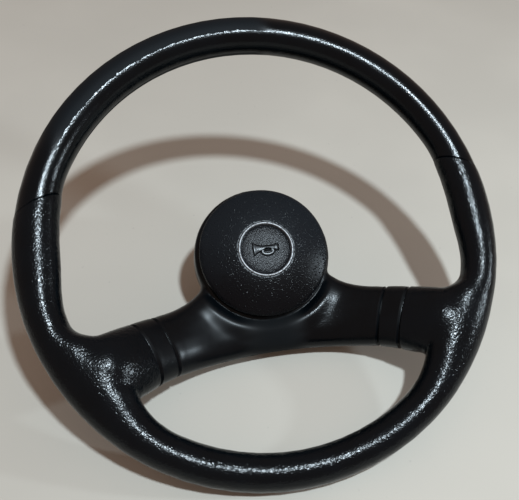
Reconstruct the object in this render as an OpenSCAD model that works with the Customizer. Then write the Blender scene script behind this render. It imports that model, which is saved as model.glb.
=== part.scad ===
// Car steering wheel with two arched spokes and a sprung horn cap in the hub.
// The wheel's axis is Z, the driver is at +Z and twelve o'clock is at +Y.
// The origin lies on the axis, in the plane of the hub's back face.

/* [Rim] */
// Outside diameter of the rim
rim_d = 380; // [360:5:400]
// Width of the rim's section, across the wheel
rim_w = 29.2; // [27:0.2:32]
// Depth of the rim's section, along the axis
rim_t = 30; // [27:0.5:33]
// Height of the rim's middle above the hub's back face
rim_lift = 78; // [72:1:84]
// Diameter of the steel rod inside the rim
core_d = 10; // [8:0.5:12]

/* [Thumb rests and seams] */
// How far the thumb rests swell towards the hub
thumb_swell = 4.6; // [0:0.2:6]
// Angle of the fullest point of a thumb rest above the horizontal
thumb_angle = 2; // [-2:1:4]
// Angle that a thumb rest takes to run out upwards
thumb_rise = 22; // [16:1:26]
// Angle that a thumb rest takes to run out downwards
thumb_fall = 15; // [12:1:20]
// Angle of a seam above the horizontal, at the middle of the rim
seam_angle = 16; // [12:1:28]
// Angle by which a seam leans at the edges of the rim
seam_slant = 3.8; // [0:0.1:4.4]
// Width of a seam groove
seam_w = 1.8; // [1:0.1:2.4]
// Depth of a seam groove
seam_depth = 0.9; // [0.4:0.1:1.4]
// Step from the grained rim down to the smooth rim at a seam
seam_step = 0.4; // [0:0.1:0.6]

/* [Spokes] */
// Radius of the arch along the middle of the spokes
arch_r = 403.5; // [395:0.5:415]
// Distance from the wheel's axis down to the top of that arch
arch_drop = 56.5; // [55:0.5:60]
// Width of the spokes
spoke_w = 51; // [48:0.5:54]
// Thickness of the spokes
spoke_t = 28; // [26:0.5:29]
// Depth of the dish, from the rim's middle to the middle of the spokes at the hub
dish = 52; // [48:0.5:54]
// Extra depth of the spokes' underside at the hub
root_depth = 11; // [8:0.5:13]
// Squareness of the spokes' section, where 2 is an ellipse
spoke_square = 2.4; // [2:0.1:3]
// How far the rim swells towards the hub where a spoke joins it
joint_swell = 12; // [8:1:14]
// Angle along the rim that this swelling takes to run out above a spoke
joint_above = 5.5; // [4:0.5:8]
// Angle along the rim that it takes to run out below a spoke
joint_below = 17; // [12:1:20]
// Radius of the blend from the spokes' upper edge into the hub
hub_blend = 25; // [20:1:30]
// Distance along the arch from its top to the inner groove
groove_inner = 90.5; // [86:0.5:94]
// Distance between the two grooves of a spoke
groove_gap = 16.5; // [12:0.5:18]
// Width of a groove
groove_w = 2.8; // [2:0.1:3.6]
// Depth of a groove
groove_depth = 1.5; // [0.8:0.1:2]
// Angle by which the grooves lean away from the arch's radius
groove_lean = 4.5; // [0:0.5:7]

/* [Hub] */
// Wall of the hub's collar, around the cup
collar_wall = 7; // [6.5:0.5:9]
// Height of the collar's lip
collar_h = 36.5; // [35.5:0.5:37]
// How far the cap stands out over the cup
cap_over = 3.5; // [2.5:0.1:3.7]
// Gap around the cap, where the spokes stand above the collar's lip
cap_room = 2; // [1:0.5:2.5]
// Radius of the hub's back face
back_r = 50; // [48:0.5:52]
// Radius of the recess in the back of the hub
recess_r = 40; // [39.5:0.5:42]
// Depth of that recess, down to the hub plate
recess_h = 8; // [7:0.5:9]

/* [Steel insert] */
// Radius of the hub plate
plate_r = 47; // [46:0.5:48]
// Thickness of the hub plate
plate_t = 3; // [2.5:0.5:4]
// Width of a spoke bar
bar_w = 14; // [10:0.5:15]
// Thickness of a spoke bar
bar_t = 5; // [4:0.5:6]
// Distance of a bar's inner end from the axis
bar_start = 41; // [39:0.5:43]
// Angle of a bar's inner end below the horizontal
bar_angle = 40; // [38:1:44]
// Radius of the boss behind the plate
boss_r = 17; // [16:0.5:18]
// Radius of the boss's neck, through the plate
neck_r = 14; // [13:0.5:15]
// Distance of the boss's back end from the hub's back face
boss_back = 1; // [0.5:0.5:2]
// Height of the nut seat above the hub's back face
seat_h = 20.5; // [19:0.5:21]
// Radius of the plain pilot bore for the column
pilot_r = 9.2; // [8.8:0.1:9.6]
// Length of the pilot bore
pilot_h = 6; // [5:0.5:7]
// Depth of the serrations above the pilot bore
serration_depth = 0.7; // [0.5:0.1:0.9]
// Number of serrations
serrations = 36; // [30:1:40]
// Radius of the two holes for a puller
puller_hole_r = 3.4; // [3:0.1:4]
// Distance of the puller holes from the axis
puller_at = 26; // [24:0.5:28]

/* [Horn current] */
// Thickness of the cancelling ring
cam_t = 5; // [4:0.5:5.5]
// Outside radius of the cancelling ring
cam_r = 38; // [36.5:0.5:38.5]
// Height of the cancelling dogs
dog_h = 2.6; // [1.5:0.1:2.8]
// Width of the cancelling dogs, across the ring
dog_w = 4; // [3:0.5:5]
// Inside radius of the slip ring
slip_in = 23; // [22:0.5:24]
// Outside radius of the slip ring
slip_out = 31; // [30:0.5:32]
// Thickness of the slip ring
slip_t = 1; // [0.6:0.1:1.4]
// Radius of the contact post
post_r = 1.6; // [1.4:0.1:2]
// Distance of the post from the axis
post_at = 26; // [25.5:0.1:26.5]
// Wall of the post's bush
bush_wall = 1.7; // [1.2:0.1:2]
// Gap between the contact rings and the base screws' heads
contact_gap = 0.6; // [0.4:0.1:1.2]
// Width of the contact rings
contact_w = 7; // [6.6:0.1:7.5]
// Thickness of the contact rings
contact_t = 0.8; // [0.6:0.1:1]
// Radius of the contact rivets' heads
rivet_head_r = 2.4; // [2:0.1:2.8]
// Radius of the contact rivets' shanks
rivet_r = 1; // [0.8:0.1:1.2]
// Length of the contact rivets' shanks
rivet_l = 5; // [4:0.5:7]

/* [Horn base] */
// Gap between the base's edge and the carrier's ledge
base_gap = 0.8; // [0.6:0.1:1.2]
// Thickness of the base
base_t = 3; // [2.5:0.5:3.5]
// Height of the spacers under the base
spacer_h = 8; // [7:0.5:9]
// Outside radius of a spacer
spacer_r = 4.5; // [4:0.1:5]
// Radius of the socket hole in the base
socket_r = 19.5; // [18.5:0.5:20]
// Radius of the base screws' shanks
screw_r = 2.5; // [2:0.1:2.8]
// Radius of the base screws' heads
screw_head_r = 4.4; // [4:0.1:4.6]
// Height of the base screws' heads
screw_head_h = 2.4; // [2:0.1:3]
// Distance of the base screws from the base's edge
screw_in = 12; // [11:0.1:12.2]
// Thickness of a hook's arm
hook_t = 2.6; // [2.2:0.1:3]
// Length of a hook along the base's edge, in degrees
hook_sweep = 24; // [16:2:26]
// How far a hook's barb stands out
barb_out = 1.6; // [1.2:0.1:1.8]
// Height of a hook's barb
barb_h = 2.6; // [2:0.1:3]

/* [Horn cap] */
// Radius of the cap at its widest
cap_r = 53.5; // [52.5:0.1:53.9]
// Gap between the collar's lip and the cap's lower edge
cap_gap = 3; // [2.8:0.1:3.6]
// Height of the cap's side
cap_side = 6.7; // [6:0.1:8]
// Rise of the dome from the cap's widest circle to the bright ring
cap_rise = 11; // [9:0.5:13]
// Wall of the cap
cap_wall = 2.5; // [2:0.1:3]
// Radius of the round edge between side and dome
cap_edge = 1.3; // [0.8:0.1:1.8]
// How far the cap moves down when it is pressed
horn_travel = 2; // [1.5:0.1:2.2]
// Radius of the bright ring's outer edge
trim_r = 22.6; // [21.5:0.1:24]
// Width of the bright ring
trim_w = 1.6; // [1.2:0.1:2]
// Height of the bright ring above the dome
trim_proud = 0.7; // [0.4:0.1:1]
// Depth of the well for ring and disc
well_depth = 2.2; // [1.8:0.1:2.6]
// Thickness of the disc
disc_t = 1.7; // [1.4:0.1:1.8]
// Radius of the disc's sunk middle
disc_sunk_r = 18.5; // [16:0.1:19]
// Depth of the disc's sunk middle
disc_sunk = 0.8; // [0.4:0.1:1]
// Radius of the heat stakes that hold the cap on its carrier
stake_r = 2; // [1.6:0.1:2.4]
// Distance of the heat stakes from the cup's wall
stake_in = 9; // [8:0.5:10]

/* [Carrier] */
// Thickness of the carrier's plate
carrier_t = 2.5; // [2:0.1:3]
// Radius of the hole in the carrier's plate
carrier_hole_r = 17; // [14:0.5:18]
// Wall of the carrier's skirt
skirt_wall = 1.3; // [1.1:0.1:1.4]
// Width of the ledge that the hooks catch
ledge_w = 1.3; // [1.1:0.1:1.4]
// Height of the ledge
ledge_h = 3; // [2:0.1:4]
// Length of the skirt below the plate
skirt_h = 12; // [11:0.5:13]

/* [Springs] */
// Diameter of the spring wire
wire_d = 1; // [0.8:0.1:1.1]
// Outside diameter of a spring
spring_d = 8; // [7:0.1:8.6]
// Number of turns
turns = 5.5; // [4.5:0.5:6.5]
// Distance of the springs from the base's edge
spring_in = 10; // [9:0.5:11]

/* [Fits] */
// Clearance around steel pieces inside the moulding
mould_fit = 0.15; // [0.1:0.05:0.3]
// Clearance of fixed pieces in their holes and seats
seat_fit = 0.1; // [0.05:0.05:0.2]
// Clearance between the skirt and the cup
skirt_fit = 0.6; // [0.5:0.1:0.8]
// Gap left between the contacts when the horn is pressed
contact_fit = 0.1; // [0.05:0.05:0.3]

/* [Hidden] */

// Rim and arch
rim_r = (rim_d - rim_w) / 2;
rim_sides = 16;
arch_y = -(arch_drop + arch_r);
hub_z = rim_lift - dish;
arch_end = acos((pow(arch_r, 2) + pow(arch_y, 2) - pow(rim_r, 2)) / (-2 * arch_r * arch_y));
spoke_sides = 20;
degree = arch_r * PI / 180;

// Where the dish starts and ends, as distances from the axis, and how late it rises
dish_start = 50;
dish_margin = 10.4;
dish_end = rim_r - dish_margin;
dish_late = 1.45;

// Angles along the arch at which the blend to the hub starts and ends, and at which the root ends
hub_start = 12;
hub_end = 6;
root_end = 12;

// Radii in the hub, out from the cap
cup_r = cap_r - cap_over;
collar_r = cup_r + collar_wall;
cap_clear_r = cap_r + cap_room;
skirt_out = cup_r - skirt_fit;
skirt_in = skirt_out - skirt_wall;
ledge_in = skirt_in - ledge_w;
base_r = ledge_in - base_gap;
screw_at = base_r - screw_in;
spring_at = base_r - spring_in;
stake_at = cup_r - stake_in;
contact_out = screw_at - screw_head_r - contact_gap;
contact_in = contact_out - contact_w;
contact_mid = (contact_in + contact_out) / 2;

// Heights in the hub
plate_z = recess_h;
plate_top = plate_z + plate_t;
base_z = plate_top + spacer_h;
base_top = base_z + base_t;
carrier_z = collar_h + horn_travel + 0.5;
carrier_top = carrier_z + carrier_t;
ledge_top = carrier_z - skirt_h + ledge_h;
cup_floor = 2;
floor_z = plate_top + cup_floor;
rivet_head_z = base_top + contact_t + horn_travel + contact_fit;
rivet_head_h = 1.1;
moving_z = rivet_head_z + rivet_head_h;

// Heights and dome of the cap
cap_z = collar_h + cap_gap;
edge_z = cap_z + cap_side;
well_r = trim_r + seat_fit;
trim_in = trim_r - trim_w;
dome_c = (pow(well_r, 2) + pow(cap_rise, 2) - pow(cap_r, 2)) / (2 * cap_rise);
dome_r = norm([cap_r, dome_c]);
well_top = edge_z + cap_rise;
well_z = well_top - well_depth;

// Angles of the repeated pieces around the axis
screw_angles = [30, 150, 270];
spring_angles = [90, 210, 330];
rivet_angles = [0, 120, 240];
stake_angles = [45, 135, 225, 315];
post_angle = 60;
cut = 1;

function clamp(t) = min(1, max(0, t));
function smooth(t) = pow(clamp(t), 2) * (3 - 2 * clamp(t));
function quarter(t) = 1 - sqrt(1 - pow(clamp(t), 2));
function lobe(t, power) = sign(t) * pow(abs(t), 2 / power);
function arc(centre, r, from, to, steps) =
    [for (i = [0:steps]) let (a = from + (to - from) * i / steps) centre + r * [cos(a), sin(a)]];
function bezier(p, t) = pow(1 - t, 3) * p[0] + 3 * pow(1 - t, 2) * t * p[1]
    + 3 * (1 - t) * pow(t, 2) * p[2] + pow(t, 3) * p[3];

// Skins a list of rings that all have the same number of points
module skin(rings, looped) {
    n = len(rings[0]);
    m = len(rings);
    last = looped ? m - 1 : m - 2;
    sides = [for (i = [0:last], j = [0:n - 1])
        let (a = i * n, b = ((i + 1) % m) * n, k = (j + 1) % n)
        each [[a + j, b + k, b + j], [a + j, a + k, b + k]]];
    ends = looped ? [] : [[for (j = [n - 1:-1:0]) j], [for (j = [0:n - 1]) (m - 1) * n + j]];
    polyhedron([for (ring = rings) each ring], concat(sides, ends), convexity = 10);
}

// Copies the children at each angle, at a distance from the axis
module around(angles, at) {
    for (a = angles) rotate(a) translate([at, 0, 0]) children();
}

module tube(r_out, r_in, h) {
    difference() {
        cylinder(r = r_out, h = h);
        translate([0, 0, -cut]) cylinder(r = r_in, h = h + 2 * cut);
    }
}

// Rim, as sections that lean with the seams
function swell(a) = let (run = a > thumb_angle ? thumb_rise : thumb_fall)
    thumb_swell * pow(cos(90 * clamp(abs(a - thumb_angle) / run)), 2);
// Angle along the rim's inner edge at which it meets a circle about the arch's centre
function edge_angle(r) = let (inner = rim_r - rim_w / 2)
    asin((pow(inner, 2) + pow(arch_y, 2) - pow(r, 2)) / (2 * inner * arch_y));
joint_top = edge_angle(arch_r + spoke_w / 2);
joint_low = edge_angle(arch_r - spoke_w / 2);
function joint(a) = joint_swell * pow(min(
    clamp((joint_top + joint_above - a) / joint_above),
    clamp((a - joint_low + joint_below) / joint_below)), 2);
function slant(a) = seam_slant * smooth(1 - abs(a - seam_angle) / 14);
function step_down(a) = a < seam_angle ? 0 : seam_step * (1 - smooth((a - seam_angle) / 30));
function rim_section(theta, dip) =
    let (left = theta > 90, a = left ? 180 - theta : theta, full = (swell(a) + joint(a)) / 2)
    [for (i = [0:rim_sides - 1])
        let (phi = 360 * i / rim_sides,
            at = rim_r - full + (rim_w / 2 + full - dip) * cos(phi),
            lean = theta - (left ? -1 : 1) * slant(a) * cos(phi))
        [at * cos(lean), at * sin(lean), rim_lift + (rim_t / 2 - dip) * sin(phi)]];

seam_half = seam_w / 2 / rim_r * 180 / PI;
function spread(from, to, steps) = [for (i = [0:steps - 1]) from + (to - from) * i / steps];
rim_lower = concat(
    spread(-90, joint_low - joint_below, 6),
    spread(joint_low - joint_below, joint_low, 6),
    spread(joint_low, joint_top, 4),
    spread(joint_top, joint_top + joint_above, 4),
    spread(joint_top + joint_above, seam_angle - seam_half, 7),
    [seam_angle - seam_half]);
rim_upper = concat(spread(seam_angle + seam_half, 90, 17), [90]);
rim_right = concat(
    [for (a = rim_lower) [a, 0]],
    [[seam_angle, seam_depth]],
    [for (a = rim_upper) [a, step_down(a)]]);
rim_left = [for (i = [len(rim_right) - 2:-1:1]) [180 - rim_right[i][0], rim_right[i][1]]];

module rim_skin() {
    skin([for (s = concat(rim_right, rim_left)) rim_section(s[0], s[1])], true);
}

// Spokes, as one arched band of rounded sections from rim to rim
function arch_point(psi) = [arch_r * sin(psi), arch_y + arch_r * cos(psi)];
function band_z(s) = hub_z + dish * smooth(pow(clamp((s - dish_start) / (dish_end - dish_start)), dish_late));
function arch_z(psi) = band_z(norm(arch_point(psi)));
function top_half(psi) = spoke_w / 2 + hub_blend * quarter((hub_start - psi) / (hub_start - hub_end));
function under_half(psi) = spoke_t / 2 + root_depth * (1 - smooth(psi / root_end));
function band_section(psi, dip) =
    let (p = abs(psi),
        side = psi < 0 ? -1 : 1,
        slope = atan((arch_z(p + 0.2) - arch_z(p - 0.2)) / (0.4 * degree)),
        lean = groove_lean * smooth(p / 10))
    [for (i = [0:spoke_sides - 1])
        let (phi = 360 * i / spoke_sides,
            across = lobe(cos(phi), spoke_square) * ((cos(phi) > 0 ? top_half(p) : spoke_w / 2) - dip),
            up = lobe(sin(phi), spoke_square) * ((sin(phi) > 0 ? spoke_t / 2 : under_half(p)) - dip),
            along = across * tan(lean) - up * sin(slope),
            at = (arch_r + across) * [sin(p), cos(p)] + along * [cos(p), -sin(p)])
        [side * at[0], arch_y + at[1], arch_z(p) + across * tan(lean) * tan(slope) + up * cos(slope)]];

groove_half = groove_w / 2 / degree;
function groove_run(at) = [[at - groove_half, 0], [at, groove_depth], [at + groove_half, 0]];
function plain_run(from, to, steps) = [for (a = spread(from, to, steps)) [a, 0]];
inner_at = groove_inner / degree;
outer_at = (groove_inner + groove_gap) / degree;
band_half = concat(
    plain_run(0, hub_end, 3),
    plain_run(hub_end, inner_at - groove_half, 7),
    groove_run(inner_at),
    plain_run(inner_at + groove_half * 1.5, outer_at - groove_half, 3),
    groove_run(outer_at),
    plain_run(outer_at + groove_half * 1.5, arch_end - 0.7, 5),
    [[arch_end - 0.7, 0]]);
band = concat([for (i = [len(band_half) - 1:-1:1]) band_half[i]],
    [for (s = band_half) [-s[0], s[1]]]);

module band_skin() {
    skin([for (s = band) band_section(s[0], s[1])], false);
}

module hub_solid() {
    back_edge = 4;
    waist_h = 14;
    lip_edge = 2;
    rotate_extrude($fn = 72) polygon(concat(
        [[0, 0], [back_r, 0]],
        arc([back_r, back_edge], back_edge, -60, 0, 3),
        [[collar_r, waist_h]],
        arc([collar_r - lip_edge, collar_h - lip_edge], lip_edge, 0, 90, 3),
        [[0, collar_h]]));
}

// Steel insert
bar_end_r = rim_r - core_d / 2 - seat_fit;
bar_straight = 35;
bar_low_run = 1;
bar_rise_run = 48;
bar_out = arch_point(arch_end) / rim_r;
bar_line = [bar_start * [cos(bar_angle), -sin(bar_angle)], arch_point(9.5),
    (bar_end_r - bar_straight) * bar_out, bar_end_r * bar_out];
bar_steps = 14;
bar_low_z = plate_top + bar_t / 2;
function bar_z(s) =
    let (t = smooth((s - plate_r - bar_low_run) / bar_rise_run))
    bar_low_z * (1 - t) + band_z(s) * t;

function bar_ring(t, fit) =
    let (p = bezier(bar_line, t),
        d = bezier(bar_line, t + 0.01) - bezier(bar_line, t - 0.01),
        rise = bar_z(norm(p + d / 2)) - bar_z(norm(p - d / 2)),
        yaw = atan2(d[1], d[0]),
        pitch = atan2(rise, norm(d)),
        side = (bar_w / 2 + fit) * [-sin(yaw), cos(yaw), 0],
        up = (bar_t / 2 + fit) * [-sin(pitch) * cos(yaw), -sin(pitch) * sin(yaw), cos(pitch)])
    [for (c = [[1, -1], [1, 1], [-1, 1], [-1, -1]])
        [p[0], p[1], bar_z(norm(p))] + c[0] * side + c[1] * up];

module spoke_bar() {
    skin([for (i = [bar_steps:-1:0]) bar_ring(i / bar_steps, 0)], false);
}

module bar_channel() {
    for (i = [0:bar_steps - 1]) hull()
        skin([bar_ring(i / bar_steps, mould_fit), bar_ring((i + 1) / bar_steps, mould_fit)], false);
}

module grip_moulding() {
    core_sides = 8;
    core_steps = 72;
    sag = rim_r * (1 - cos(180 / core_steps));
    core_cut_r = (core_d / 2 + mould_fit + sag) / cos(180 / core_sides);
    color([0.1, 0.1, 0.11]) difference() {
        union() {
            rim_skin();
            band_skin();
            hub_solid();
        }
        // Cup for the horn parts, and the clearance around the cap
        translate([0, 0, floor_z]) cylinder(r = cup_r, h = rim_lift, $fn = 72);
        translate([0, 0, collar_h]) cylinder(r = cap_clear_r, h = rim_lift, $fn = 72);
        // Recess in the back, and the seat of the hub plate
        translate([0, 0, -cut]) cylinder(r = recess_r, h = floor_z + 2 * cut, $fn = 72);
        translate([0, 0, plate_z]) cylinder(r = plate_r / cos(180 / 72) + mould_fit, h = plate_t, $fn = 72);
        // Channels for the rim's rod and the spoke bars
        translate([0, 0, rim_lift]) rotate_extrude($fn = core_steps) translate([rim_r, 0])
            rotate(180 / core_sides) circle(r = core_cut_r, $fn = core_sides);
        bar_channel();
        mirror([1, 0, 0]) bar_channel();
    }
}

module rim_core() {
    color([0.45, 0.45, 0.47]) translate([0, 0, rim_lift])
        rotate_extrude() translate([rim_r, 0]) circle(d = core_d);
}

module spoke_bar_right() {
    color([0.45, 0.45, 0.47]) spoke_bar();
}

module spoke_bar_left() {
    color([0.45, 0.45, 0.47]) mirror([1, 0, 0]) spoke_bar();
}

module hub_plate() {
    color([0.5, 0.5, 0.52]) translate([0, 0, plate_z]) difference() {
        cylinder(r = plate_r, h = plate_t);
        translate([0, 0, -cut]) {
            cylinder(r = neck_r + seat_fit, h = plate_t + 2 * cut);
            around(screw_angles, screw_at) cylinder(r = screw_r + seat_fit, h = plate_t + 2 * cut);
            around([0, 180], puller_at) cylinder(r = puller_hole_r, h = plate_t + 2 * cut);
            around([post_angle], post_at) cylinder(r = post_r + bush_wall + 2 * seat_fit, h = plate_t + 2 * cut);
        }
    }
}

module hub_boss() {
    tip_r = pilot_r - serration_depth;
    color([0.55, 0.55, 0.57]) difference() {
        union() {
            translate([0, 0, boss_back]) cylinder(r = boss_r, h = plate_z - boss_back);
            translate([0, 0, plate_z]) cylinder(r = neck_r, h = seat_h - plate_z);
        }
        translate([0, 0, boss_back - cut]) cylinder(r = pilot_r, h = pilot_h + cut);
        translate([0, 0, boss_back]) linear_extrude(seat_h) polygon(
            [for (i = [0:2 * serrations - 1]) let (r = i % 2 == 0 ? pilot_r - 0.02 : tip_r, a = 180 * i / serrations)
                r * [cos(a), sin(a)]]);
    }
}

module cancel_cam() {
    color([0.85, 0.83, 0.76]) difference() {
        union() {
            translate([0, 0, plate_z - cam_t]) tube(cam_r, boss_r + seat_fit, cam_t);
            for (a = [-18, 162]) rotate(a) translate([0, 0, plate_z - cam_t - dog_h])
                rotate_extrude(angle = 36) translate([cam_r - dog_w - 0.5, 0]) square([dog_w, dog_h + 0.5]);
        }
        rotate(post_angle) translate([post_at, 0, 0]) cylinder(r = post_r + seat_fit, h = plate_z + cut);
    }
}

module slip_ring() {
    color([0.8, 0.62, 0.25]) translate([0, 0, plate_z - cam_t - slip_t]) tube(slip_out, slip_in, slip_t);
}

module post_bush() {
    color([0.85, 0.83, 0.76]) around([post_angle], post_at) translate([0, 0, plate_z])
        tube(post_r + seat_fit + bush_wall, post_r + seat_fit, base_z - plate_z);
}

module contact_post() {
    foot_z = plate_z - cam_t;
    head_h = 0.7;
    color([0.8, 0.62, 0.25]) around([post_angle], post_at) {
        translate([0, 0, foot_z]) cylinder(r = post_r, h = base_top + contact_t - foot_z);
        translate([0, 0, base_top + contact_t]) cylinder(r = post_r + 1.2, h = head_h);
    }
}

module base_spacers() {
    color([0.6, 0.6, 0.6]) around(screw_angles, screw_at) translate([0, 0, plate_top])
        tube(spacer_r, screw_r + seat_fit, spacer_h);
}

module base_screws() {
    slot_w = 1.1;
    slot_l = screw_head_r * 1.3;
    slot_h = screw_head_h * 0.6;
    color([0.65, 0.65, 0.66]) around(screw_angles, screw_at) difference() {
        union() {
            translate([0, 0, plate_z + seat_fit]) cylinder(r = screw_r, h = base_top - plate_z);
            translate([0, 0, base_top]) cylinder(r = screw_head_r, h = screw_head_h);
        }
        for (a = [0, 90]) rotate(a) translate([0, 0, base_top + screw_head_h])
            cube([slot_l, slot_w, 2 * slot_h], center = true);
    }
}

module horn_base() {
    peg_r = spring_d / 2 - wire_d - 0.3;
    peg_h = 3;
    barb_z = ledge_top + seat_fit;
    color([0.2, 0.2, 0.21]) difference() {
        union() {
            translate([0, 0, base_z]) cylinder(r = base_r, h = base_t);
            around(spring_angles, spring_at) translate([0, 0, base_top]) cylinder(r = peg_r, h = peg_h);
            for (a = screw_angles) rotate(a - hook_sweep / 2) rotate_extrude(angle = hook_sweep) polygon([
                [base_r - hook_t, base_top - 0.5], [base_r, base_top - 0.5], [base_r, barb_z],
                [base_r + barb_out, barb_z], [base_r, barb_z + barb_h], [base_r - hook_t, barb_z + barb_h]]);
        }
        translate([0, 0, base_z - cut]) {
            cylinder(r = socket_r, h = base_t + 2 * cut);
            around(screw_angles, screw_at) cylinder(r = screw_r + seat_fit, h = base_t + 2 * cut);
            around([post_angle], post_at) cylinder(r = post_r + seat_fit, h = base_t + 2 * cut);
        }
    }
}

module fixed_contact() {
    color([0.8, 0.62, 0.25]) translate([0, 0, base_top]) difference() {
        tube(contact_out, contact_in, contact_t);
        around([post_angle], post_at) translate([0, 0, -cut])
            cylinder(r = post_r + seat_fit, h = contact_t + 2 * cut);
    }
}

// One spring, with its end turns laid flat
module coil() {
    flat = 0.6;
    per_turn = 10;
    wire_sides = 6;
    r = wire_d / 2;
    rise = carrier_z - base_top - wire_d;
    steps = turns * per_turn;
    skin([for (i = [0:steps])
        let (turn = i / per_turn, z = base_top + r + rise * clamp((turn - flat) / (turns - 2 * flat)))
        [for (j = [0:wire_sides - 1])
            let (phi = 360 * (j + 0.5) / wire_sides, at = spring_d / 2 - r + r * cos(phi))
            [at * cos(360 * turn), at * sin(360 * turn), z + r * sin(phi)]]], false);
}

module horn_springs() {
    color([0.7, 0.7, 0.72]) around(spring_angles, spring_at) coil();
}

module cap_carrier() {
    peg_r = spring_d / 2 - wire_d - 0.3;
    peg_h = 2.5;
    boss_wall = 2.6;
    color([0.25, 0.25, 0.26]) difference() {
        union() {
            translate([0, 0, carrier_z]) cylinder(r = cap_r - cap_wall - seat_fit, h = carrier_t);
            translate([0, 0, carrier_z - skirt_h]) tube(skirt_out, skirt_in, skirt_h + 0.5);
            translate([0, 0, ledge_top - ledge_h]) tube(skirt_out - 0.5, ledge_in, ledge_h);
            around(spring_angles, spring_at) translate([0, 0, carrier_z - peg_h])
                cylinder(r = peg_r, h = peg_h + 0.5);
            around(rivet_angles, contact_mid) translate([0, 0, moving_z + contact_t])
                cylinder(r = rivet_r + boss_wall, h = carrier_z - moving_z - contact_t + 0.5);
        }
        translate([0, 0, carrier_z - cut]) {
            cylinder(r = carrier_hole_r, h = carrier_t + 2 * cut);
            around(stake_angles, stake_at) cylinder(r = stake_r + seat_fit, h = carrier_t + 2 * cut);
        }
        around(rivet_angles, contact_mid) translate([0, 0, moving_z])
            cylinder(r = rivet_r + seat_fit, h = contact_t + rivet_l + seat_fit);
    }
}

module moving_contact() {
    color([0.8, 0.62, 0.25]) translate([0, 0, moving_z]) difference() {
        tube(contact_out, contact_in, contact_t);
        around(rivet_angles, contact_mid) translate([0, 0, -cut])
            cylinder(r = rivet_r + seat_fit, h = contact_t + 2 * cut);
    }
}

module contact_rivets() {
    color([0.75, 0.6, 0.3]) around(rivet_angles, contact_mid) {
        translate([0, 0, rivet_head_z]) cylinder(r = rivet_head_r, h = rivet_head_h);
        translate([0, 0, moving_z]) cylinder(r = rivet_r, h = contact_t + rivet_l);
    }
}

// Domed shell with a well for the ring and the disc, a rib that rests on the carrier, and heat stakes
module horn_cap() {
    side_r = cap_r - cap_edge;
    edge_a = atan2(-dome_c, side_r);
    steps = 10;
    rib_r = stake_at + stake_r + 3;
    rib_w = 2;
    inner_r = dome_r - cap_wall;
    floor_r = well_r + cap_wall;
    outer = [for (i = [0:steps]) let (r = well_r + (side_r - well_r) * i / steps)
        [r, edge_z + dome_c + sqrt(pow(dome_r, 2) - pow(r, 2))]];
    inner = [for (i = [steps:-1:0]) let (r = floor_r + (cap_r - cap_wall - floor_r) * i / steps)
        [r, edge_z + dome_c + sqrt(pow(inner_r, 2) - pow(r, 2))]];
    function under(r) = edge_z + dome_c + sqrt(pow(inner_r, 2) - pow(r, 2));
    color([0.09, 0.09, 0.1]) {
        rotate_extrude() polygon(concat(
            [[0, well_z], [well_r, well_z]],
            outer,
            arc([side_r, edge_z - cap_edge], cap_edge, edge_a, 0, 4),
            [[cap_r, cap_z + 1], [cap_r - 0.5, cap_z], [cap_r - cap_wall, cap_z]],
            inner,
            [[floor_r, well_z - cap_wall], [0, well_z - cap_wall]]));
        translate([0, 0, carrier_top]) tube(rib_r + rib_w, rib_r, under(rib_r + rib_w) + 0.8 - carrier_top);
        around(stake_angles, stake_at) {
            translate([0, 0, carrier_z]) cylinder(r = stake_r, h = under(stake_at) + 0.8 - carrier_z);
            translate([0, 0, carrier_z - 1.2]) cylinder(r = stake_r + 0.8, h = 1.2);
        }
    }
}

module trim_ring() {
    round_r = trim_w / 2;
    color([0.85, 0.85, 0.87]) rotate_extrude() polygon(concat(
        [[trim_in, well_z], [trim_r, well_z]],
        arc([trim_r - round_r, well_top + trim_proud - round_r], round_r, 0, 180, 8)));
}

module emblem_disc() {
    r = trim_in - seat_fit;
    color([0.12, 0.12, 0.13]) translate([0, 0, well_z]) difference() {
        cylinder(r = r, h = disc_t);
        translate([0, 0, disc_t - disc_sunk]) cylinder(r = disc_sunk_r, h = disc_sunk + cut);
    }
}

grip_moulding();
rim_core();
spoke_bar_left();
spoke_bar_right();
hub_plate();
hub_boss();
cancel_cam();
slip_ring();
post_bush();
contact_post();
base_spacers();
base_screws();
horn_base();
fixed_contact();
horn_springs();
cap_carrier();
moving_contact();
contact_rivets();
horn_cap();
trim_ring();
emblem_disc();
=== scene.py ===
"""Car steering wheel: moulded grip, domed horn cap and the works in the hub, dressed over their solids."""

import math

import bmesh
import bpy
from bpy.props import FloatProperty, FloatVectorProperty, IntProperty, PointerProperty
from mathutils import Matrix, Vector


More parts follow.
